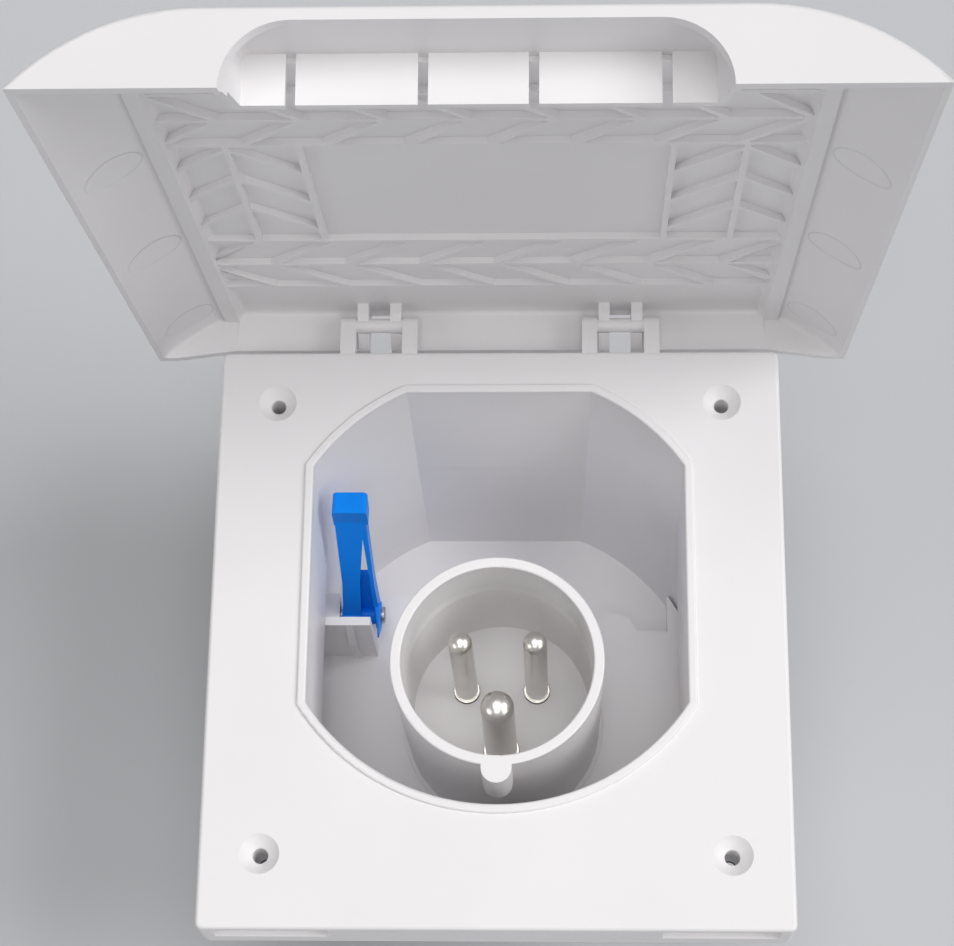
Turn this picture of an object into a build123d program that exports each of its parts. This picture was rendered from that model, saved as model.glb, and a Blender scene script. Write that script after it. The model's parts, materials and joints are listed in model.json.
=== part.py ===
# Flush mains inlet for an outside wall: bezel and well, three pins in a keyed shroud, release lever, hinged cap.
# Millimetres. Origin: centre of the four wall screws on the wall plane. +Z out of the wall, +Y towards the hinge.
import os
from math import cos, radians, sin, sqrt

from build123d import *

os.makedirs("parts", exist_ok=True)

# Bezel
plate_w = 120.0
plate_h = 124.5
plate_y = -1.65
plate_corner_r = 1.4
plate_edge_r = 0.8
plate_t = 2.6
side_t = 2.4
front_z = 15.5
wall_gasket_t = 1.5
screw_dx = 95.2
screw_dy = 97.6
screw_hole_r = 1.6
sink_r = 4.1
screw_boss_r = 5.2
lip_w = 1.9
lip_h = 0.7
pocket_x = (33.5, 57.0)
pocket_z = (6.6, 13.9)
pocket_depth = 1.5

# Well: a circle cut by two side flats and a top flat, its ceiling coming down with depth
well_y = 8.4
well_r = 47.0
well_flat = 39.3
well_top = 42.6
well_depth = 62.0
well_t = 2.2
ceiling_drop = 12.3
floor_t = 3.0
throat_depth = 28.5
body_step = 0.25
body_widen = 3.6
flange_w = 8.6
flange_t = 3.0
body_gasket_t = 1.0
joint_play = 0.05
gasket_gap = 0.15
body_flange_t = 2.5
flange_screw_r = 1.5
flange_screw_out = 5.4
flange_screw_angles = (55.0, 125.0, 230.0, 310.0)

# Platform around the foot of the shroud: a round boss and a block at its right, a ledge behind the lever at its left
platform_depth = 55.0
platform_edge = 14.1
platform_boss_x = 25.3
platform_boss_y = 12.6
platform_boss_r = 5.6
block_x = 37.6
ledge_x = 20.2
block_top = 22.55

# Shroud, web and key
inlet_y = -8.25
shroud_r = 22.25
shroud_foot_r = 21.75
shroud_bore_r = 20.05
shroud_step = 0.3
shroud_step_depth = 13.0
shroud_step_run = 2.5
shroud_play = 0.05
web_depth = 42.0
web_t = 3.0
skirt_r = 22.6
collar_w = 1.6
collar_t = 1.5
seat_r = 20.0
key_w = 6.3
key_out = 3.6
key_depth = 14.0

# Pins and their carrier
pin_circle_r = 9.0
line_r = 2.5
earth_r = 3.5
pin_tip_depth = 1.5
pin_ring = 0.3
pin_ring_h = 0.6
pin_gap = 0.15
carrier_r = 19.8
carrier_t = 12.0
carrier_play = 0.1
pin_flange_extra = 1.5
pin_flange_t = 2.0
shank_extra = 0.7
shank_play = 0.05
terminal_len = 14.0
wire_hole_r = 1.5
wire_hole_up = 8.0
post_r = 2.8
post_len = 7.0
post_x = 13.5
post_drop = 7.0

# Lever with its bracket and pivot pin
pivot_y = 16.15
pivot_depth = 49.0
lever_pin_r = 1.25
pin_head_r = 1.9
pin_head_t = 0.6
pin_head_play = 0.3
lever_lean = 17.0
lever_len = 44.0
lever_head_h = 5.5
lever_head_x = (-35.9, -28.4)
lever_head_r = 1.0
lever_half_t = 1.8
leg_top_x = (-35.7, -28.9)
leg_low_x = (-36.6, -27.9)
leg_waist_x = (-35.7, -28.6)
slit_top = 32.2
slit_low = 15.5
slit_x = (-31.7, -29.5)
slit_tip_x = -30.0
recess_low_x = (-32.4, -29.0)
recess_in = 2.2
nose_root_x = -29.2
nose_tip_x = (-28.5, -28.2)
nose_reach = 7.0
hub_r = 3.1
sleeve_r = 2.1
run_play = 0.08
ear_x = (-41.6, -37.2)
ear_top = 20.35
ear_depth = 46.0
guard_y = (8.05, 9.95)
guard_right = -28.9
guard_depth = 30.0
guard_rib_x = (-34.3, -32.7)
guard_rib_h = 1.7
guard_rib_depth = 40.5
guard_rib_foot = 0.4
bracket_play = 0.3
peg_r = 1.25
peg_len = 4.0
peg_play = 0.05

# Hinge
hinge_y = 67.68
hinge_z = 13.5
hinge_x = 26.2
lug_offset = 6.7
lug_w = 3.3
lug_r = 1.75
bar_r = 1.55

# Cap: measured from the hinge axis, "along" towards its free end and "out" towards its outer skin
cap_open = 83.27
cap_half_w = 75.15
cap_free = 150.0
cap_back = 6.2
cap_skin_out = 8.0
cap_rim_out = -6.0
cap_rim_wall = 0.6
cap_t = 2.2
cap_skin_t = 3.5
cap_side_t = 1.3
cap_flat_half = 44.3
cap_back_r = 1.0
cap_free_r = 0.8
cap_inner_r = 1.0
lift_rise = 1.6
lift_side = 4.15
lift_run = 13.0
notch_half = 41.0
notch_out = 5.45
notch_r = 11.4
recess_depth = 13.6
recess_r = 1.5
recess_taper = 2.0
recess_t = 1.6
tooth_at = 6.0
tooth_h = 0.8
tab_t = 1.6
tab_rim_gap = 2.4
tab_slot_w = 1.7
tab_slots = (-30.9, -9.1, 9.1, 30.9)
side_rib_x = 60.6
side_rib_t = 1.8
side_rib_out = -0.4
rib_t = 1.2
rib_h = 1.4
cross_rows = (18.5, 33.0, 48.0, 100.5, 112.5, 124.5)
panel_x = 33.6
mid_rib_x = 46.7
low_pitch = 15.3
top_pitch = 14.8
side_pitch = 15.6
rib_reach = 61.0
hook_t = 2.4
hook_inset = 4.75
hook_root = 2.0
hook_tip = (1.7, 0.6)
hook_lip = (0.7, 1.9)
hook_heel = (3.6, 4.2)

# Rear cover, cable gland and cord clamp
cover_w = 46.0
cover_d = 24.0
cover_t = 2.2
cover_flange_w = 64.0
cover_flange_h = 46.0
cover_flange_t = 2.5
cover_seal_t = 1.0
cover_screw_x = 27.0
cover_screw_y = 17.0
gland_z = -62.5
gland_hole_r = 7.6
gland_len = 9.0
gland_nut_r = 10.5
cord_r = 4.6

bezel_back = wall_gasket_t
plate_top = plate_y + plate_h / 2
floor_z = front_z - well_depth
throat_z = front_z - throat_depth
body_front = throat_z - body_gasket_t
tongue_z = body_front + joint_play
platform_z = front_z - platform_depth
web_z = front_z - web_depth
body_back = floor_z - floor_t
pivot_z = front_z - pivot_depth
ear_z = front_z - ear_depth
guard_z = front_z - guard_depth
tab_along = cap_free - recess_depth
carrier_front = web_z - web_t - carrier_play
carrier_back = carrier_front - carrier_t
cover_front = body_back - cover_seal_t
cover_back = cover_front - cover_d


def outline(depth, grow=0.0, widen=0.0):
    """Face of the well's cross section at a depth below the front face, grown by a wall, its sides set wider."""
    part = depth / well_depth
    top_centre = well_y - ceiling_drop * part
    top_r = well_r - 1.5 * part + grow
    low_r = well_r - 1.4 * part + grow
    flat = well_flat - 1.0 * part + grow + widen
    top = well_top - 0.7 * part + grow
    top_half = sqrt(top_r**2 - top**2)
    shoulder = top_centre + sqrt(top_r**2 - flat**2)
    heel = well_y - sqrt(low_r**2 - flat**2)
    bend_x = (top_half + flat) / 2
    bend_y = top_centre + sqrt(top_r**2 - bend_x**2)
    edges = [
        Line((-top_half, top_centre + top), (top_half, top_centre + top)),
        ThreePointArc((top_half, top_centre + top), (bend_x, bend_y), (flat, shoulder)),
        Line((flat, shoulder), (flat, heel)),
        ThreePointArc((flat, heel), (0, well_y - low_r), (-flat, heel)),
        Line((-flat, heel), (-flat, shoulder)),
        ThreePointArc((-flat, shoulder), (-bend_x, bend_y), (-top_half, top_centre + top)),
    ]
    return make_face(edges)


def well_solid(grow, top_z, low_z, widen=0.0):
    """Tapering solid inside the well's walls, between two heights."""
    faces = [Pos(0, 0, z) * outline(front_z - z, grow, widen) for z in (top_z, low_z)]
    return loft([f.face() for f in faces], ruled=True)


def slab(face, low, high):
    return extrude(Pos(0, 0, low) * face, high - low)


def turned(points):
    """Solid turned about Z from a half profile of (radius, height) points."""
    return revolve(make_face(Polyline(*[(r, 0, z) for r, z in points], close=True)), Axis.Z)


def screw(head_r, head_h, shank_r, shank_len, slot_w):
    """Slotted pan-head screw, its head's seat at z 0 and its shank along +Z."""
    body = turned([(0, -head_h), (head_r * 0.8, -head_h), (head_r, -head_h * 0.5), (head_r, 0),
                   (shank_r, 0), (shank_r, shank_len - shank_r), (0, shank_len)])
    return body - Pos(0, 0, -head_h) * Box(2.2 * head_r, slot_w, head_h)


def write(shape, node):
    export_step(shape, "parts/" + node + ".step")


# Bezel: hollow frame with a front face, screw bosses, throat, lip, flange and hinge lugs
frame = slab(Pos(0, plate_y) * RectangleRounded(plate_w, plate_h, plate_corner_r), bezel_back, front_z)
frame = fillet(frame.faces().sort_by(Axis.Z)[-1].edges(), plate_edge_r)
inside = RectangleRounded(plate_w - 2 * side_t, plate_h - 2 * side_t, plate_corner_r - 1)
bezel = frame - slab(Pos(0, plate_y) * inside, bezel_back, front_z - plate_t)
wall_screws = GridLocations(screw_dx, screw_dy, 2, 2)
bezel += [at * slab(Circle(screw_boss_r), bezel_back, front_z - 1) for at in wall_screws]
bezel += well_solid(well_t, front_z - 0.5, tongue_z)
bezel += slab(outline(throat_depth, flange_w), throat_z, throat_z + flange_t)
flange_screws = []
for angle in flange_screw_angles:
    upper = angle < 180
    part = throat_depth / well_depth
    reach = (well_r - 1.45 * part) + flange_screw_out
    centre = well_y - ceiling_drop * part * upper
    flange_screws.append(Pos(reach * cos(radians(angle)), centre + reach * sin(radians(angle))))
bezel += [at * slab(Circle(3.2), throat_z, throat_z + flange_t + 4) for at in flange_screws]
bezel -= well_solid(0, front_z, tongue_z)
bezel -= [at * slab(Circle(flange_screw_r), throat_z, throat_z + flange_t + 3) for at in flange_screws]
sink = turned([(0, 0), (screw_hole_r, 0), (screw_hole_r, front_z - (sink_r - screw_hole_r)),
               (sink_r, front_z), (0, front_z)])
bezel -= [at * sink for at in wall_screws]
lip = slab(outline(0, lip_w) - outline(0), front_z - 0.2, front_z + lip_h)
bezel += fillet(lip.faces().sort_by(Axis.Z)[-1].edges(), 0.5)
for side in (-1, 1):
    mid_x = side * sum(pocket_x) / 2
    pocket = Rectangle(pocket_x[1] - pocket_x[0], 2 * pocket_depth)
    bezel -= slab(Pos(mid_x, plate_y - plate_h / 2) * pocket, *pocket_z)
lug_face = Pos((plate_top - 1 + hinge_y) / 2, hinge_z) * Rectangle(hinge_y - plate_top + 1, 2 * lug_r)
lug_face += Pos(hinge_y, hinge_z) * Circle(lug_r)
bar_face = Pos(hinge_y, hinge_z) * Circle(bar_r)
for side in (-1, 1):
    for offset in (-lug_offset, lug_offset):
        bezel += extrude(Plane.YZ.offset(side * hinge_x + offset - lug_w / 2) * lug_face, lug_w)
    bezel += extrude(Plane.YZ.offset(side * hinge_x - lug_offset) * bar_face, 2 * lug_offset)
write(bezel, "front_bezel")

# Wall gasket under the bezel
gasket_face = Pos(0, plate_y) * RectangleRounded(plate_w - 1, plate_h - 1, 2) - outline(throat_depth, flange_w + 1.5)
gasket = slab(gasket_face, 0, wall_gasket_t)
gasket -= [at * slab(Circle(screw_hole_r), 0, wall_gasket_t) for at in wall_screws]
write(gasket, "wall_gasket")

# Gasket between the bezel's flange and the inlet body, outside the end of the bezel's throat
throat_grow = well_t + gasket_gap
ring_hole = outline(throat_depth, throat_grow, body_step + body_widen + gasket_gap - throat_grow)
ring = slab(outline(throat_depth, flange_w - 0.4) - ring_hole, body_front, throat_z)
ring -= [at * slab(Circle(flange_screw_r + 0.4), body_front, throat_z) for at in flange_screws]
write(ring, "body_gasket")

# Inlet body: rear half of the well, set wider at its sides, with its floor, platform and blocks
body = well_solid(well_t + body_step, body_front, floor_z, body_widen)
body += slab(outline(throat_depth, flange_w), body_front - body_flange_t, body_front)
body -= well_solid(body_step, body_front, floor_z, body_widen)
body += slab(outline(well_depth, well_t + body_step, body_widen), body_back, floor_z)
plan = Pos(platform_boss_x, platform_boss_y) * Circle(platform_boss_r)
for side, step_x in ((1, block_x), (-1, ledge_x)):
    edge = [(0, -well_r), (well_r, -well_r), (well_r, block_top), (step_x, block_top), (step_x, platform_edge),
            (0, platform_edge)]
    plan += make_face(Polyline(*[(side * x, y) for x, y in edge], close=True))
platform_face = outline(well_depth, body_step + 0.3, body_widen) & plan
body += slab(platform_face, floor_z, platform_z)
body -= Pos(0, inlet_y) * slab(Circle(skirt_r + shroud_play), body_back, platform_z)
body -= Pos(0, inlet_y) * slab(Circle(skirt_r + collar_w + shroud_play), body_back, body_back + collar_t)
cover_screws = Pos(0, inlet_y) * GridLocations(2 * cover_screw_x, 2 * cover_screw_y, 2, 2)
body -= [at * slab(Circle(1.45), body_back, body_back + 8) for at in cover_screws]
body -= [at * slab(Circle(flange_screw_r + 0.4), body_front - body_flange_t, body_front) for at in flange_screws]
bracket_peg = Pos(sum(guard_rib_x) / 2, sum(guard_y) / 2)
body -= bracket_peg * slab(Circle(peg_r + peg_play), platform_z - peg_len - 0.2, platform_z)
write(body, "inlet_body")

# Inlet shroud: keyed round tube with a web for the pins, its collar in a step behind the floor
shroud = turned([(0, body_back), (skirt_r + collar_w, body_back), (skirt_r + collar_w, body_back + collar_t),
                 (skirt_r, body_back + collar_t), (skirt_r, platform_z), (shroud_foot_r, platform_z),
                 (shroud_r, front_z), (0, front_z)])
shroud = Pos(0, inlet_y) * shroud
key = Pos(0, inlet_y - shroud_r - key_out + key_w / 2) * Circle(key_w / 2)
key += Pos(0, inlet_y - shroud_r) * Rectangle(key_w, 2 * (key_out - key_w / 2))
shroud += slab(key, front_z - key_depth, front_z)
bore = turned([(0, web_z), (shroud_bore_r - 2 * shroud_step, web_z),
               (shroud_bore_r - shroud_step, front_z - shroud_step_depth - shroud_step_run),
               (shroud_bore_r, front_z - shroud_step_depth), (shroud_bore_r, front_z), (0, front_z)])
seat = turned([(0, body_back), (seat_r, body_back), (seat_r, web_z - web_t), (0, web_z - web_t)])
shroud -= [Pos(0, inlet_y) * bore, Pos(0, inlet_y) * seat]
posts = [Pos(side * post_x, inlet_y - post_drop) for side in (-1, 1)]
shroud += [at * slab(Circle(post_r), web_z - web_t - post_len, web_z - 0.5) for at in posts]
shroud -= [at * slab(Circle(1.45), web_z - web_t - post_len, web_z - 1.5) for at in posts]
pins = {
    "line_pin": (line_r, 150.0),
    "neutral_pin": (line_r, 30.0),
    "earth_pin": (earth_r, 270.0),
}
pin_at = {}
for node, (radius, angle) in pins.items():
    pin_at[node] = Pos(pin_circle_r * cos(radians(angle)), inlet_y + pin_circle_r * sin(radians(angle)))
    shroud -= pin_at[node] * slab(Circle(radius + pin_ring + pin_gap), web_z - web_t, web_z)
shroud = fillet(shroud.edges().filter_by(GeomType.CIRCLE).filter_by(
    lambda e: abs(e.center().Z - front_z) < 0.01 and e.radius > shroud_bore_r - 0.1), 0.35)
write(shroud, "inlet_shroud")

# Screws through the body's flange
flange_screw = Pos(0, 0, body_front - body_flange_t) * screw(2.7, 2.0, 1.45, 9.0, 0.8)
write(Compound([at * flange_screw for at in flange_screws]), "flange_screws")

# Pin carrier, pins and their terminal screws
carrier = slab(Circle(carrier_r), carrier_back, carrier_front)
carrier = Pos(0, inlet_y) * chamfer(carrier.edges(), 0.6)
step_z = web_z - web_t - post_len - 0.5
carrier -= [at * slab(Circle(post_r + 0.2), step_z, carrier_front) for at in posts]
carrier -= [at * slab(Circle(1.9), carrier_back, step_z) for at in posts]
tip_z = front_z - pin_tip_depth
tail_z = carrier_back - terminal_len
for node, (radius, angle) in pins.items():
    shank = radius + shank_extra
    collar = radius + pin_flange_extra
    carrier -= pin_at[node] * slab(Circle(shank + shank_play), carrier_back, carrier_front)
    carrier -= pin_at[node] * slab(Circle(collar + shank_play), carrier_front - pin_flange_t, carrier_front)
    side = make_face(Polyline((0, 0, tail_z), (shank, 0, tail_z), (shank, 0, carrier_front - pin_flange_t),
                              (collar, 0, carrier_front - pin_flange_t), (collar, 0, carrier_front),
                              (radius + pin_ring, 0, carrier_front), (radius + pin_ring, 0, web_z + pin_ring_h),
                              (radius, 0, web_z + pin_ring_h), (radius, 0, tip_z), (0, 0, tip_z), close=True))
    pin = revolve(side, Axis.Z)
    pin = fillet(pin.faces().sort_by(Axis.Z)[-1].edges(), radius * 0.9)
    wire = Pos(0, 0, tail_z + wire_hole_up) * Rot(90 if node == "earth_pin" else 0, 0, 0) * Rot(0, 90, 0)
    pin -= wire * Cylinder(wire_hole_r, 4 * shank)
    pin -= slab(Circle(1.5), tail_z, tail_z + wire_hole_up)
    write(pin_at[node] * pin, node)
    clamp = screw(2.7, 1.8, 1.42, 6.2, 0.8)
    write(pin_at[node] * Pos(0, 0, tail_z) * clamp, node.replace("pin", "terminal_screw"))
write(carrier, "pin_carrier")
carrier_screw = Pos(0, 0, carrier_back) * screw(2.8, 2.0, 1.4, 9.5, 0.8)
write(Compound([at * carrier_screw for at in posts]), "carrier_screws")

# Lever bracket: a guard plate in front of the lever's foot and the block that holds the headed pivot pin
def across(face, span):
    """Solid of a side view, with Y and Z as its axes, carried between two places along X."""
    return extrude(Plane.YZ.offset(span[0]) * face, span[1] - span[0])


def side_box(y_span, z_span):
    middle = Pos((y_span[0] + y_span[1]) / 2, (z_span[0] + z_span[1]) / 2)
    return middle * Rectangle(y_span[1] - y_span[0], z_span[1] - z_span[0])


ear = side_box((guard_y[0], ear_top), (platform_z, ear_z)) - Pos(pivot_y, pivot_z) * Circle(lever_pin_r + 0.02)
bracket = across(ear, ear_x) + across(side_box(guard_y, (platform_z, guard_z)), (ear_x[0], guard_right))
guard_rib = make_face(Polyline((guard_y[1], guard_z), (guard_y[0], guard_z),
                               (guard_y[0] - guard_rib_h, front_z - guard_rib_depth),
                               (guard_y[0] - guard_rib_foot, platform_z), (guard_y[1], platform_z), close=True))
bracket += across(guard_rib, guard_rib_x)
bracket = bracket & well_solid(body_step - bracket_play, body_front, floor_z, body_widen)
bracket += bracket_peg * slab(Circle(peg_r), platform_z - peg_len, platform_z + 1)
write(bracket, "lever_bracket")
pin_head_x = leg_low_x[1] + pin_head_play
lever_pin = across(Pos(pivot_y, pivot_z) * Circle(lever_pin_r), (ear_x[0], pin_head_x))
lever_pin += across(Pos(pivot_y, pivot_z) * Circle(pin_head_r), (pin_head_x, pin_head_x + pin_head_t))
write(chamfer(lever_pin.faces().sort_by(Axis.X)[-1].edges(), 0.2), "lever_pin")

# Release lever: head, tapering plate with a slit and a recess, hub on the pivot and a nose beside the guard
neck = lever_len - lever_head_h
head = make_face(Polyline((2.2, neck - 1), (2.2, lever_len), (-3.3, lever_len), (-lever_half_t, neck),
                          (-lever_half_t, neck - 1), close=True))
lever = across(head, lever_head_x)
lever = fillet(lever.edges().group_by(Axis.Z)[-1].filter_by(Axis.Y), lever_head_r)


def lever_plate(points, front, back):
    """Solid of a front view, with X and Z as its axes, between two distances behind the lever's front."""
    return extrude(Plane.XZ.offset(lever_half_t - front) * make_face(Polyline(*points, close=True)), front - back)


thick = 2 * lever_half_t
legs = [(leg_low_x[0], 0), (leg_low_x[1], 0), (leg_waist_x[1], slit_low), (leg_top_x[1], neck), (leg_top_x[0], neck),
        (leg_waist_x[0], slit_low)]
lever += lever_plate(legs, 0, thick)
slit = [(slit_x[0], slit_low), (slit_x[1], slit_low), (slit_tip_x, slit_top)]
lever -= lever_plate(slit, 0, thick)
recess = [(recess_low_x[0], 0), (recess_low_x[1], 0), (slit_x[1], slit_low), (slit_x[0], slit_low)]
lever -= lever_plate(recess, 0, recess_in)
lever += across(Circle(sleeve_r), leg_low_x)
lever += across(Circle(hub_r), (leg_low_x[0], recess_low_x[0]))
lever += across(Circle(hub_r), (recess_low_x[1], leg_low_x[1]))
nose_side = make_face(Polyline((-1.0, 6.5), (-6.3, 2.1), (-6.6, 0.6), (-2.0, -2.0), close=True))
nose_top = make_face(Polyline((nose_root_x, 0), (leg_low_x[1], 0), (leg_low_x[1], -nose_reach / 3),
                              (nose_tip_x[1], -nose_reach), (nose_tip_x[0], -nose_reach),
                              (nose_tip_x[0], -0.7 * nose_reach), close=True))
lever += across(nose_side, (nose_root_x, leg_low_x[1])) & slab(nose_top, -hub_r, 2 * hub_r + 1)
lever -= across(Circle(lever_pin_r + run_play), leg_low_x)
write(Pos(0, pivot_y, pivot_z) * Rot(-lever_lean, 0, 0) * lever, "latch_lever")

# Cap: built about the hinge axis with its free end towards -Y, then turned to its open position
arc_r = ((cap_half_w - cap_flat_half) ** 2 + (cap_skin_out - cap_rim_out - cap_rim_wall) ** 2) / (
    2 * (cap_skin_out - cap_rim_out - cap_rim_wall))


def cap_section(skin, radius, foot):
    """Half of the cap's cross section mirrored: flat middle, arc down to the rim, short rim wall."""
    centre = (cap_flat_half, cap_skin_out - arc_r)
    shoulder = foot + cap_rim_wall
    flat_x = centre[0] + sqrt(max(radius**2 - (skin - centre[1]) ** 2, 0))
    rim_x = centre[0] + sqrt(radius**2 - (shoulder - centre[1]) ** 2)
    arc_mid = 0.5 * (rim_x + flat_x)
    arc_z = centre[1] + sqrt(radius**2 - (arc_mid - centre[0]) ** 2)
    right = [Line((0, skin), (flat_x, skin)),
             ThreePointArc((flat_x, skin), (arc_mid, arc_z), (rim_x, shoulder)),
             Line((rim_x, shoulder), (rim_x, foot)), Line((rim_x, foot), (0, foot)), Line((0, foot), (0, skin))]
    face = make_face(right)
    return face + mirror(face, Plane.YZ)


def along(face, start, end):
    """Solid of a cross section carried along the cap from one distance to another."""
    return extrude(Plane.XZ.offset(start) * face, end - start)


skin_in = cap_skin_out - cap_skin_t
outer = along(cap_section(cap_skin_out, arc_r, cap_rim_out), -cap_back, cap_free)
outer = fillet(outer.faces().sort_by(Axis.Y)[-1].edges().filter_by(lambda e: e.center().Z > cap_rim_out + 0.4), cap_back_r)
outer = fillet(outer.faces().sort_by(Axis.Y)[0].edges().filter_by(lambda e: e.center().Z > cap_rim_out + 0.4), cap_free_r)
hollow = along(cap_section(skin_in, arc_r - cap_side_t, cap_rim_out - 1), -(cap_back - cap_t), cap_free - cap_t)
cap_void = fillet(hollow.faces().sort_by(Axis.Y)[-1].edges().filter_by(lambda e: e.center().Z > cap_rim_out), cap_inner_r)
cap = outer - cap_void

# Cap rib field: cross ribs, an open panel in the middle, chevrons in every band
lines = []
for row in cross_rows:
    lines.append(((-rib_reach, row), (rib_reach, row)))
for side in (-1, 1):
    lines.append(((side * panel_x, cross_rows[2]), (side * panel_x, cross_rows[3])))
    lines.append(((side * mid_rib_x, cross_rows[2]), (side * mid_rib_x, cross_rows[3])))
    for step in range(3):
        apex = cross_rows[3] - 2 - step * side_pitch
        run = mid_rib_x - panel_x
        lines.append(((side * mid_rib_x, apex), (side * panel_x, apex - run)))
        lines.append(((side * mid_rib_x, apex), (side * (mid_rib_x + run - 1), apex - run + 1)))
for step in range(-1, 8):
    vertex = (-3 * low_pitch + step * low_pitch, cross_rows[1])
    for row in (cross_rows[0], cross_rows[2]):
        lines.append((vertex, (vertex[0] + abs(row - vertex[1]), row)))
for step in range(9):
    vertex = (-46.4 + step * top_pitch, cross_rows[4])
    for row in (cross_rows[3], cross_rows[5]):
        lines.append((vertex, (vertex[0] - abs(row - vertex[1]), row)))
window = Pos(0, -70) * Rectangle(2 * rib_reach, 140)
rib_face = Sketch()
for (x0, a0), (x1, a1) in lines:
    length = sqrt((x1 - x0) ** 2 + (a1 - a0) ** 2)
    bar = Plane(((x0 + x1) / 2, -(a0 + a1) / 2, 0), (x1 - x0, -(a1 - a0), 0)) * Rectangle(length, rib_t)
    rib_face += bar
rib_face = rib_face & window
cap += slab(rib_face, skin_in - rib_h, cap_skin_out) & outer

# Cap side ribs that pass outside the bezel
side_rib = make_face(Polyline((side_rib_x, side_rib_out), (side_rib_x + side_rib_t, side_rib_out),
                              (side_rib_x + side_rib_t, cap_skin_out), (side_rib_x, cap_skin_out), close=True))
cap += along(side_rib + mirror(side_rib, Plane.YZ), -(cap_back - 1), cap_free - 1) & outer


def arch(distance, narrow, grow, corner_r):
    """Face of the notch or recess at a distance along the cap, narrowed at each side and grown by a wall."""
    top = notch_out + grow
    low = cap_rim_out - 4
    face = Pos(0, (top + low) / 2) * Rectangle(2 * (notch_half - narrow + grow), top - low)
    return Plane.XZ.offset(distance) * fillet(face.vertices().group_by(Axis.Y)[-1], corner_r + grow)


def arch_solid(start, end, grow, corner_r):
    ends = [(at, recess_taper * (cap_free - at) / recess_depth) for at in (start, end)]
    return loft([arch(at, narrow, grow, corner_r).face() for at, narrow in ends], ruled=True)


# Cap recess: behind the round notch in the end wall, a square hollow runs back to the slotted tab wall
tab_low = cap_rim_out + tab_rim_gap
walls = arch_solid(tab_along - tab_t, cap_free, recess_t, recess_r)
walls -= arch_solid(tab_along - tab_t - 1, cap_free + 1, 0, recess_r)
tooth = cap_free - tooth_at
slope = make_face(Polyline((-cap_free, cap_rim_out), (-tooth, tab_low - tooth_h - 0.6), (-tooth, tab_low - 0.6),
                           (-tab_along, tab_low), (-tab_along + 3, tab_low), (-tab_along + 3, cap_rim_out - 5),
                           (-cap_free, cap_rim_out - 5), close=True))
walls -= across(slope, (-notch_half - 4, notch_half + 4))
cap -= arch_solid(tab_along, cap_free - cap_t, 0, recess_r)
cap -= arch_solid(cap_free - cap_t - 0.1, cap_free + 1, 0, notch_r)
cap += walls & outer
tab_half = notch_half - recess_taper + 0.4
tab = Pos(0, (tab_low + skin_in) / 2 + 0.5) * Rectangle(2 * tab_half, skin_in - tab_low + 1)
cap += along(tab, tab_along - tab_t, tab_along)
for x in tab_slots:
    slot = Pos(x, (tab_low + notch_out) / 2) * Rectangle(tab_slot_w, notch_out - tab_low)
    cap -= along(slot, tab_along - tab_t, tab_along)

# Cap hinge end: lifted rim and pairs of hooks that clip round the bezel's bars, with a slot between each pair
lift_x = cap_half_w - lift_side
lift_z = cap_rim_out + lift_rise
lift = make_face(Polyline((-lift_x, cap_rim_out - 1), (-lift_x, cap_rim_out), (-lift_x + lift_run, lift_z),
                          (lift_x - lift_run, lift_z), (lift_x, cap_rim_out), (lift_x, cap_rim_out - 1), close=True))
cap -= along(lift, -cap_back - 1, -(cap_back - cap_t - 1))
hook = make_face(Polyline((-hook_root, skin_in + 0.3), (-hook_root, 2.2), (-hook_tip[0], hook_tip[1]),
                          (hook_lip[0], -hook_lip[1]), (hook_heel[0], -hook_heel[1]),
                          (cap_back - cap_t / 2, -hook_heel[1]), (cap_back - cap_t / 2, skin_in + 0.3), close=True))
hook -= Circle(bar_r + run_play)
for side in (-1, 1):
    for offset in (-hook_inset, hook_inset - hook_t):
        cap += across(hook, (side * hinge_x + offset, side * hinge_x + offset + hook_t))
    slot_half = hook_inset - hook_t
    slot = side_box((cap_back - cap_t, cap_back + 1), (cap_rim_out - 1, skin_in))
    cap -= across(slot, (side * hinge_x - slot_half, side * hinge_x + slot_half))
write(Pos(0, hinge_y, hinge_z) * Rot(-cap_open, 0, 0) * cap, "cap")

# Rear cover with its seal and screws
cover = slab(RectangleRounded(cover_flange_w, cover_flange_h, 8), cover_front - cover_flange_t, cover_front)
cup = slab(RectangleRounded(cover_w, cover_w, 6), cover_back, cover_front)
cup = fillet(cup.faces().sort_by(Axis.Z)[0].edges(), 2.5)
cover = cover + cup - slab(RectangleRounded(cover_w - 2 * cover_t, cover_w - 2 * cover_t, 4), cover_back + cover_t, cover_front)
cover = Pos(0, inlet_y) * cover
cover -= [at * slab(Circle(1.9), cover_front - cover_flange_t, cover_front) for at in cover_screws]
gland_wall = inlet_y - cover_w / 2
gland_plane = Plane((0, gland_wall + cover_t, gland_z), x_dir=(1, 0, 0), z_dir=(0, -1, 0))
cover -= extrude(gland_plane.offset(-1) * Circle(gland_hole_r + 0.1), cover_t + 2)
clamp_y = inlet_y - 15
clamp_posts = [Pos(side * 11, clamp_y) for side in (-1, 1)]
cover += [at * slab(Circle(3), cover_back + 1, gland_z - cord_r) for at in clamp_posts]
cover -= [at * slab(Circle(1.3), cover_back + 1.5, gland_z - cord_r) for at in clamp_posts]
write(cover, "rear_cover")
seal_face = RectangleRounded(cover_flange_w - 1, cover_flange_h - 1, 7.5) - RectangleRounded(cover_w - 2, cover_w - 4, 5)
seal = Pos(0, inlet_y) * slab(seal_face, cover_front, body_back)
seal -= [at * slab(Circle(1.9), cover_front, body_back) for at in cover_screws]
write(seal, "cover_seal")
cover_screw = Pos(0, 0, cover_front - cover_flange_t) * screw(2.9, 2.0, 1.4, 10.0, 0.8)
write(Compound([at * cover_screw for at in cover_screws]), "cover_screws")

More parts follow.
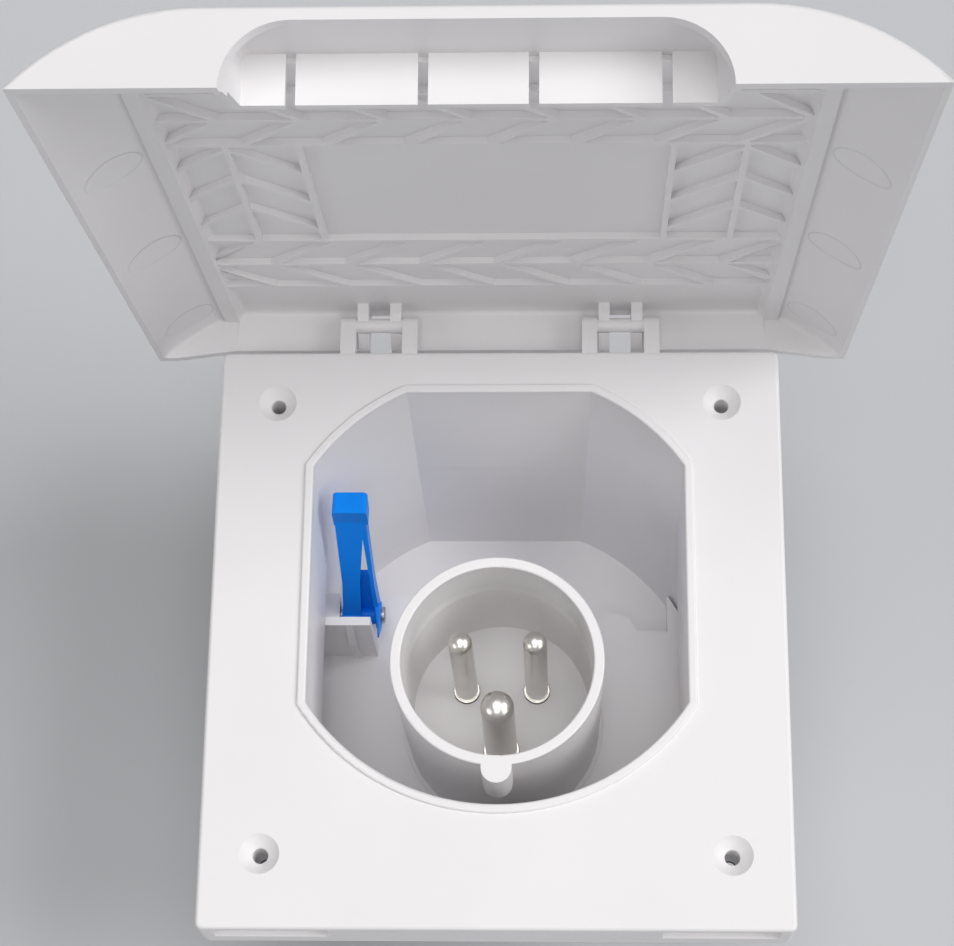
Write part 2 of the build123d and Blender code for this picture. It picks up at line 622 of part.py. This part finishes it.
# Cable gland through the cover's lower wall
tube = extrude(gland_plane * (Circle(gland_hole_r) - Circle(cord_r + 1.4)), gland_len)
tube += extrude(gland_plane.offset(-2.2) * (RegularPolygon(gland_hole_r + 2.4, 6) - Circle(cord_r + 1.4)), 2.2)
write(tube, "gland_body")
write(extrude(gland_plane * (Circle(cord_r + 1.35) - Circle(cord_r)), gland_len), "gland_seal")
nut = extrude(gland_plane.offset(cover_t) * RegularPolygon(gland_nut_r, 6), gland_len - cover_t + 2)
nut = chamfer(nut.faces().sort_by(Axis.Y)[0].edges(), 1.2)
nut -= extrude(gland_plane.offset(cover_t) * Circle(gland_hole_r + 0.05), gland_len - cover_t + 0.1)
nut -= extrude(gland_plane.offset(cover_t) * Circle(cord_r + 0.2), gland_len + 2)
write(nut, "gland_nut")

# Cord clamp bar on the cover's two posts
saddle = make_face(Polyline((-15, gland_z - cord_r), (-cord_r, gland_z - cord_r), (cord_r, gland_z - cord_r),
                            (15, gland_z - cord_r), (15, gland_z - cord_r + 3), (cord_r + 2.4, gland_z - cord_r + 3),
                            (3.4, gland_z + cord_r + 1.2), (-3.4, gland_z + cord_r + 1.2),
                            (-cord_r - 2.4, gland_z - cord_r + 3), (-15, gland_z - cord_r + 3), close=True))
saddle -= Pos(0, gland_z) * Circle(cord_r)
saddle -= Pos(0, gland_z - cord_r) * Rectangle(2 * cord_r, 2 * cord_r)
bar = extrude(Plane.XZ.offset(-clamp_y - 2.75) * saddle, 5.5)
bar -= [at * slab(Circle(1.7), gland_z - cord_r, gland_z - cord_r + 4) for at in clamp_posts]
write(bar, "cord_clamp")
clamp_screw = Pos(0, 0, gland_z - cord_r + 3) * Rot(180, 0, 0) * screw(2.6, 1.8, 1.25, 8.0, 0.8)
write(Compound([at * clamp_screw for at in clamp_posts]), "clamp_screws")
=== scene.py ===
import json
import math

import bpy
import numpy as np
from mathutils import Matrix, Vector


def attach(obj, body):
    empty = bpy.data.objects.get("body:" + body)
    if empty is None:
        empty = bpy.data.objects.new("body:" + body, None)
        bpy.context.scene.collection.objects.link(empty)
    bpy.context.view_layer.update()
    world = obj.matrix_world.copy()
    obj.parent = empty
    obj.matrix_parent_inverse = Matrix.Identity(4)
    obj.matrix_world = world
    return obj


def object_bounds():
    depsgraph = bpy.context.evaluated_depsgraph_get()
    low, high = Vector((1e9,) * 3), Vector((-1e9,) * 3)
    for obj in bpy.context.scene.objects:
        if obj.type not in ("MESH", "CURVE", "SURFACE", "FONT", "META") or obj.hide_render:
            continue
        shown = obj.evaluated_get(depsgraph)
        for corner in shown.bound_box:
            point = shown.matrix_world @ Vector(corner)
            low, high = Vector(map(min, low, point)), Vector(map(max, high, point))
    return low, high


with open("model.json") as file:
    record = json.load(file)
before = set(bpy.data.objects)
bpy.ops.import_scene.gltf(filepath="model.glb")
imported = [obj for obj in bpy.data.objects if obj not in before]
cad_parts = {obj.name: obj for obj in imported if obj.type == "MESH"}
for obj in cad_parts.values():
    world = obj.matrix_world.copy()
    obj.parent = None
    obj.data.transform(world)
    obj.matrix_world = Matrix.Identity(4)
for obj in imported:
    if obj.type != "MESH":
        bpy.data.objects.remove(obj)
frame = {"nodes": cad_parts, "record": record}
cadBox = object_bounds()
nodes = frame["nodes"]
scene = bpy.context.scene
scene.view_settings.view_transform = "Standard"
print("inlet frame loaded", len(nodes), "nodes")

perMm = 1000.0  # the frame is in metres: a length in mm is divided by this, a pattern per mm multiplied


def linearColour(hexText):  # sRGB hex to linear red, green, blue, alpha
    raw = np.array([int(hexText[start:start + 2], 16) for start in (0, 2, 4)]) / 255.0
    lin = np.where(raw <= 0.04045, raw / 12.92, ((raw + 0.055) / 1.055) ** 2.4)
    return (float(lin[0]), float(lin[1]), float(lin[2]), 1.0)


def addNode(tree, kind, values=None, links=None, **settings):  # one node with its settings, values and links
    node = tree.nodes.new(kind)
    for key, value in settings.items():
        setattr(node, key, value)
    for key, value in (values or {}).items():
        node.inputs[key].default_value = value
    for key, source in (links or {}).items():
        tree.links.new(source, node.inputs[key])
    return node


def newFinish(name, roughness, metallic=0.0, ior=None, gloss=0.5):  # bare shader, constants on its sockets
    finish = bpy.data.materials.new(name)
    finish.use_nodes = True
    tree = finish.node_tree
    shader = tree.nodes["Principled BSDF"]
    shader.inputs["Roughness"].default_value = roughness
    shader.inputs["Metallic"].default_value = metallic
    shader.inputs["Specular IOR Level"].default_value = gloss
    if ior:
        shader.inputs["IOR"].default_value = ior
    place = addNode(tree, "ShaderNodeTexCoord").outputs["Object"]
    return finish, tree, shader, place


def addClouds(tree, shader, place, look, span=(0.0, 1.0)):  # base colour that drifts between deep and pale
    cloud = addNode(tree, "ShaderNodeTexNoise",
                    {"Scale": perMm / look["cloudMm"], "Detail": look["cloudDetail"]}, {"Vector": place})
    ramp = addNode(tree, "ShaderNodeValToRGB", links={"Fac": cloud.outputs["Fac"]})
    for end, position, tone in zip(ramp.color_ramp.elements, span, ("deep", "pale")):
        end.position = position
        end.color = linearColour(look[tone])
    tree.links.new(ramp.outputs["Color"], shader.inputs["Base Color"])


def addGrain(tree, shader, place, look):  # fine relief from the mould, on the shader's normal
    grain = addNode(tree, "ShaderNodeTexNoise",
                    {"Scale": perMm / look["grainMm"], "Detail": look["grainDetail"]}, {"Vector": place})
    relief = addNode(tree, "ShaderNodeBump",
                     {"Strength": look["grainStrength"], "Distance": look["grainHighMm"] / perMm},
                     {"Height": grain.outputs["Fac"]})
    tree.links.new(relief.outputs["Normal"], shader.inputs["Normal"])
    return relief


# The cap stands open in a plane that leans back: along runs up it from the hinge, deep goes through its wall
capHinge = next(joint for joint in frame["record"]["behaviour"]["joints"] if joint["name"] == "cap_hinge")
hingeY, hingeZ = (value * perMm for value in capHinge["pos_m"][1:])
capLean = math.radians(90.0 + capHinge["range_deg"][0])  # at its lower limit the cap is shut and lies flat


def rowToCap(y, z):  # mm in the row frame to along and deep, a turn about the hinge
    along = math.cos(capLean) * (z - hingeZ) - math.sin(capLean) * (y - hingeY)
    deep = math.cos(capLean) * (y - hingeY) + math.sin(capLean) * (z - hingeZ)
    return along, deep


def capToRow(along, deep):  # the same turn backwards
    y = hingeY - math.sin(capLean) * along + math.cos(capLean) * deep
    z = hingeZ + math.cos(capLean) * along + math.sin(capLean) * deep
    return y, z


# Ejector marks, faint round dents in a row up each curved inside of the cap, from firstMm on and rowMm long.
# The side's centre (out, deep) and radius tell its inside from its outside, which has no marks.
ejectorMark = {"outMm": 67.0, "firstMm": 6.2, "pitchMm": 45.7, "rowMm": 110.0, "radiusMm": 5.0,
               "edgeMm": 0.55, "deepMm": 0.26, "sideCentreMm": (44.3, -34.2), "sideRadiusMm": 41.6}


def addEjectorMarks(tree, place):  # returns a normal that is dented within a mark's radius of its centre
    mark = ejectorMark
    startAlong, startDeep = rowToCap(0.0, 0.0)
    turn = {"Location": (0.0, startDeep, startAlong), "Rotation": (-capLean, 0.0, 0.0), "Scale": (perMm,) * 3}
    flat = addNode(tree, "ShaderNodeMapping", turn, {"Vector": place})
    way = addNode(tree, "ShaderNodeSeparateXYZ", links={"Vector": flat.outputs["Vector"]}).outputs
    out = addNode(tree, "ShaderNodeMath", links={0: way["X"]}, operation="ABSOLUTE").outputs[0]
    across = addNode(tree, "ShaderNodeMath", {1: mark["outMm"]}, {0: out}, operation="SUBTRACT").outputs[0]
    past = addNode(tree, "ShaderNodeMath", {1: mark["firstMm"]}, {0: way["Z"]}, operation="SUBTRACT")
    row = addNode(tree, "ShaderNodeMath", {1: mark["rowMm"]}, {0: past.outputs[0]}, operation="MINIMUM")
    along = addNode(tree, "ShaderNodeMath", {1: mark["pitchMm"] / 2}, {0: row.outputs[0]},
                    operation="PINGPONG").outputs[0]
    spot = addNode(tree, "ShaderNodeCombineXYZ", links={"X": across, "Y": along}).outputs["Vector"]
    reach = addNode(tree, "ShaderNodeVectorMath", links={0: spot}, operation="LENGTH").outputs["Value"]
    halfEdge = mark["edgeMm"] / 2
    rim = {"From Min": mark["radiusMm"] - halfEdge, "From Max": mark["radiusMm"] + halfEdge}
    step = addNode(tree, "ShaderNodeMapRange", rim, {"Value": reach}, interpolation_type="SMOOTHSTEP")
    sideOut, sideDeep = mark["sideCentreMm"]
    aside = addNode(tree, "ShaderNodeMath", {1: sideOut}, {0: out}, operation="SUBTRACT").outputs[0]
    above = addNode(tree, "ShaderNodeMath", {1: sideDeep}, {0: way["Y"]}, operation="SUBTRACT").outputs[0]
    offset = addNode(tree, "ShaderNodeCombineXYZ", links={"X": aside, "Y": above}).outputs["Vector"]
    bow = addNode(tree, "ShaderNodeVectorMath", links={0: offset}, operation="LENGTH").outputs["Value"]
    outer = addNode(tree, "ShaderNodeMath", {1: mark["sideRadiusMm"]}, {0: bow}, operation="GREATER_THAN")
    height = addNode(tree, "ShaderNodeMath", links={0: step.outputs["Result"], 1: outer.outputs[0]},
                     operation="MAXIMUM")
    dent = addNode(tree, "ShaderNodeBump", {"Strength": 1.0, "Distance": mark["deepMm"] / perMm},
                   {"Height": height.outputs[0]})
    return dent.outputs["Normal"]


# ASA, injection moulded white: even, neutral white with faint flow clouds and a fine eroded mould grain
whiteAsa = {"pale": "F2F0F1", "deep": "EFEDEE", "cloudMm": 38.0, "cloudDetail": 3.0,
            "cloudSpan": (0.35, 0.65), "grainMm": 0.9, "grainDetail": 2.0, "grainHighMm": 0.02,
            "grainStrength": 0.12, "roughness": 0.42, "ior": 1.51}


def makeWhiteAsa(name, marked=False):
    finish, tree, shader, place = newFinish(name, whiteAsa["roughness"], ior=whiteAsa["ior"])
    addClouds(tree, shader, place, whiteAsa, whiteAsa["cloudSpan"])
    relief = addGrain(tree, shader, place, whiteAsa)
    if marked:
        tree.links.new(addEjectorMarks(tree, place), relief.inputs["Normal"])
    return finish


# Polyamide, injection moulded blue: strong blue, slightly shiny, faint streaks along the flow
bluePolyamide = {"pale": "0A92FF", "deep": "0884F6", "cloudMm": 6.0, "cloudDetail": 3.0,
                 "flowScale": (1.0, 1.0, 0.25), "grainMm": 0.7, "grainDetail": 2.0, "grainHighMm": 0.02,
                 "grainStrength": 0.1, "roughness": 0.36, "gloss": 0.12, "ior": 1.53}


def makeBluePolyamide():
    look = bluePolyamide
    finish, tree, shader, place = newFinish("mouldedBluePolyamide", look["roughness"], ior=look["ior"],
                                            gloss=look["gloss"])
    flow = addNode(tree, "ShaderNodeMapping", {"Scale": look["flowScale"]}, {"Vector": place})
    addClouds(tree, shader, flow.outputs["Vector"], look)
    addGrain(tree, shader, place, look)
    return finish


# Nickel-plated brass, turned: pale grey metal, a little worn, with lines round each pin.
# The lines are drawn coarser than real turning marks so that they show.
turnedNickel = {"pale": "E6E4E0", "deep": "CFCBC4", "cloudMm": 4.0, "cloudDetail": 4.0, "lineMm": 3.14,
                "lineHighMm": 0.02, "lineStrength": 0.08, "lineDistortion": 0.6, "roughness": 0.27}
waveCycles = 20.0 / (2.0 * math.pi)  # how many cycles Blender's wave texture has in one unit at a scale of 1


def makeTurnedNickel():
    look = turnedNickel
    finish, tree, shader, place = newFinish("turnedNickelPlate", look["roughness"], metallic=1.0)
    addClouds(tree, shader, place, look)
    lines = addNode(tree, "ShaderNodeTexWave",
                    {"Scale": perMm / look["lineMm"] / waveCycles, "Distortion": look["lineDistortion"]},
                    {"Vector": place}, bands_direction="Z")
    relief = addNode(tree, "ShaderNodeBump",
                     {"Strength": look["lineStrength"], "Distance": look["lineHighMm"] / perMm},
                     {"Height": lines.outputs["Fac"]})
    tree.links.new(relief.outputs["Normal"], shader.inputs["Normal"])
    return finish


# Zinc-plated steel, cold headed: cool pale metal, cloudy plating
zincSteel = {"pale": "C6CACE", "deep": "9BA0A6", "cloudMm": 1.6, "cloudDetail": 5.0, "roughness": 0.34}


def makeZincSteel():
    finish, tree, shader, place = newFinish("platedZincSteel", zincSteel["roughness"], metallic=1.0)
    addClouds(tree, shader, place, zincSteel)
    return finish


# Polyamide, moulded grey, and EPDM rubber, moulded black: dull, with a grain that breaks up the light
greyPolyamide = {"pale": "6A6D71", "deep": "5A5D61", "cloudMm": 12.0, "cloudDetail": 4.0, "grainMm": 1.0,
                 "grainDetail": 2.0, "grainHighMm": 0.04, "grainStrength": 0.2, "roughness": 0.55, "ior": 1.5}
blackEpdm = {"pale": "1C1C1D", "deep": "141415", "cloudMm": 12.0, "cloudDetail": 4.0, "grainMm": 0.8,
             "grainDetail": 2.0, "grainHighMm": 0.04, "grainStrength": 0.2, "roughness": 0.78, "ior": 1.5}


def makeDull(name, look):
    finish, tree, shader, place = newFinish(name, look["roughness"], ior=look["ior"])
    addClouds(tree, shader, place, look)
    addGrain(tree, shader, place, look)
    return finish


finishes = {"white_plastic": makeWhiteAsa("mouldedWhiteAsa"), "blue_plastic": makeBluePolyamide(),
            "nickel_plate": makeTurnedNickel(), "zinc_steel": makeZincSteel(),
            "grey_plastic": makeDull("mouldedGreyPolyamide", greyPolyamide),
            "black_rubber": makeDull("mouldedBlackEpdm", blackEpdm)}
capFinish = makeWhiteAsa("mouldedWhiteAsaMarked", marked=True)
for piece in frame["record"]["subparts"]:
    mesh = nodes[piece["node"]].data
    mesh.materials.clear()
    mesh.materials.append(capFinish if piece["node"] == "cap" else finishes[piece["material_slot"]])

# Side ribs of the cap: the photograph has them further in, lower and wider than the solid does.
# The first two rows say where the solid's ribs are, the others how far modifiers move their faces.
sideRib = {"insideMm": 60.6, "outsideMm": 62.4, "slackMm": 0.05,
           "deepMm": (-0.6, 3.4), "alongMm": (-4.1, 147.9), "edgeDeepMm": 0.5,
           "edgeInMm": 3.0, "footInMm": 2.6, "outerInMm": 1.8,
           "edgeBackMm": 2.7, "outerBackMm": 0.83}


def moveSideRibs():  # share, 0 on the outer face and 1 on the inner, sets how far a point goes in and back
    cap = nodes["cap"]
    place = np.empty(len(cap.data.vertices) * 3)
    cap.data.vertices.foreach_get("co", place)
    x, y, z = place.reshape(-1, 3).T * perMm
    along, deep = rowToCap(y, z)
    inside, outside, slack = sideRib["insideMm"], sideRib["outsideMm"], sideRib["slackMm"]
    onRib = (np.abs(x) > inside - slack) & (np.abs(x) < outside + slack)
    onRib &= (deep > sideRib["deepMm"][0]) & (deep < sideRib["deepMm"][1])
    onRib &= (along > sideRib["alongMm"][0]) & (along < sideRib["alongMm"][1])
    share = np.clip((outside - np.abs(x)) / (outside - inside), 0.0, 1.0)
    onEdge = deep < sideRib["edgeDeepMm"]
    inner = np.where(onEdge, sideRib["edgeInMm"], sideRib["footInMm"])
    inward = sideRib["outerInMm"] + share * (inner - sideRib["outerInMm"])
    back = np.where(onEdge, sideRib["edgeBackMm"], (1.0 - share) * sideRib["outerBackMm"])
    moves = [("sideRibRight", "X", -inward, onRib & (x > 0)), ("sideRibLeft", "X", inward, onRib & (x < 0)),
             ("sideRibBack", "Y", back, onRib)]
    for name, way, travel, chosen in moves:
        full = max(travel[chosen], key=abs)
        group = cap.vertex_groups.new(name=name)
        for distance in np.unique(travel[chosen]):
            points = np.flatnonzero(chosen & (travel == distance))
            group.add(points.tolist(), float(distance / full), "REPLACE")
        push = cap.modifiers.new(name, "DISPLACE")
        push.direction = way
        push.mid_level = 0.0
        push.strength = full / perMm
        push.vertex_group = name
    print("side ribs moved", int(onRib.sum()), "points")


# Inner flank of each side rib, a slim bar from the cap's flat inside up to the rib's edge.
# Its section, with a rounded foot, is given as (out, deep).
ribFlank = {"profileMm": [(55.9, 4.6), (56.3, 4.35), (56.7, 3.9), (57.1, 3.2), (57.56, 2.32), (58.4, 2.32),
                          (58.4, 4.6)],
            "alongMm": (-4.2, 148.2), "steps": 40}


def makeRibFlank(name, side):  # the section carried straight along the cap, closed at both ends
    out, deep = np.array(ribFlank["profileMm"]).T
    rows, wide = ribFlank["steps"], len(out)
    along = np.linspace(*ribFlank["alongMm"], rows)[:, None]
    x = np.broadcast_to(side * out, (rows, wide))
    y, z = capToRow(along, deep)
    points = np.stack([x, y, z], axis=-1).reshape(-1, 3) / perMm
    here = np.arange(rows * wide).reshape(rows, wide)
    beside = np.roll(here, -1, axis=1)
    sides = np.stack([here[:-1], beside[:-1], beside[1:], here[1:]], axis=-1).reshape(-1, 4)
    faces = sides.tolist() + [here[0, ::-1].tolist(), here[-1].tolist()]
    if side < 0:  # the left one is mirrored, so its faces are turned round to point outwards
        faces = [face[::-1] for face in faces]
    mesh = bpy.data.meshes.new(name)
    mesh.from_pydata(points.tolist(), [], faces)
    mesh.materials.append(finishes["white_plastic"])
    flank = bpy.data.objects.new(name, mesh)
    scene.collection.objects.link(flank)
    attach(flank, "cap")


moveSideRibs()
makeRibFlank("ribFlankRight", 1)
makeRibFlank("ribFlankLeft", -1)
print("rib flanks made")

# Floor under the rear cover, and lamps as (place, strength) that are soft and light the floor evenly
studio = {"floorHex": "C9CACD", "floorHalf": 4.0, "floorGapMm": 0.5, "floorRoughness": 0.8,
          "worldStrength": 0.08, "worldSeen": 0.6, "worldInGloss": 0.4, "softDeg": 32.0,
          "lamps": [((0.0, 0.0, 1.0), 0.77), ((0.0, 0.5, 1.0), 0.13), ((0.0, -0.6, 1.0), 0.38),
                    ((0.9, 0.0, 1.0), 1.47), ((-1.0, -0.6, 0.6), 0.42), ((1.0, -0.6, 0.6), 0.36)]}


def makeFloor():  # flat square just under the lowest point
    low = cadBox[0][2] - studio["floorGapMm"] / perMm
    half = studio["floorHalf"]
    corners = [(-half, -half, low), (half, -half, low), (half, half, low), (-half, half, low)]
    mesh = bpy.data.meshes.new("paleFloor")
    mesh.from_pydata(corners, [], [(0, 1, 2, 3)])
    floor = bpy.data.objects.new("paleFloor", mesh)
    scene.collection.objects.link(floor)
    finish, _, shader, _ = newFinish("paintedFloor", studio["floorRoughness"])
    shader.inputs["Base Color"].default_value = linearColour(studio["floorHex"])
    mesh.materials.append(finish)


def makeStudio():  # a dim white world that the camera and gloss see brighter, and the lamps
    world = bpy.data.worlds.new("softStudio")
    world.use_nodes = True
    scene.world = world
    tree = world.node_tree
    back = tree.nodes["Background"]
    back.inputs["Color"].default_value = (1.0, 1.0, 1.0, 1.0)
    ray = addNode(tree, "ShaderNodeLightPath")
    gloss = addNode(tree, "ShaderNodeMath", {1: studio["worldInGloss"], 2: studio["worldStrength"]},
                    {0: ray.outputs["Is Glossy Ray"]}, operation="MULTIPLY_ADD")
    seen = addNode(tree, "ShaderNodeMath", {1: studio["worldSeen"]},
                   {0: ray.outputs["Is Camera Ray"], 2: gloss.outputs["Value"]}, operation="MULTIPLY_ADD")
    tree.links.new(seen.outputs["Value"], back.inputs["Strength"])
    for number, (place, strength) in enumerate(studio["lamps"]):
        lamp = bpy.data.lights.new("softSun%d" % number, "SUN")
        lamp.angle = math.radians(studio["softDeg"])
        lamp.energy = strength
        holder = bpy.data.objects.new("softSun%d" % number, lamp)
        scene.collection.objects.link(holder)
        holder.location = place
        x, y, z = place
        tilt = math.acos(z / math.hypot(x, y, z))
        holder.rotation_euler = (tilt, 0.0, math.atan2(-y, -x) - math.pi / 2)  # faces the origin


# Camera at the photograph's viewing angle
cameraView = {"place": (0.01389, -0.14607, 0.50320), "turnDeg": (20.1442, 1.9403, 0.6126), "focalMm": 92.45,
              "sensorMm": 36.0, "nearest": 0.01}


def makeCamera():
    lens = bpy.data.cameras.new("photoCamera")
    lens.sensor_fit = "HORIZONTAL"
    lens.sensor_width = cameraView["sensorMm"]
    lens.lens = cameraView["focalMm"]
    lens.clip_start = cameraView["nearest"]
    holder = bpy.data.objects.new("photoCamera", lens)
    scene.collection.objects.link(holder)
    holder.location = cameraView["place"]
    holder.rotation_euler = [math.radians(turn) for turn in cameraView["turnDeg"]]
    scene.camera = holder


makeFloor()
makeStudio()
makeCamera()
print("studio and camera set")
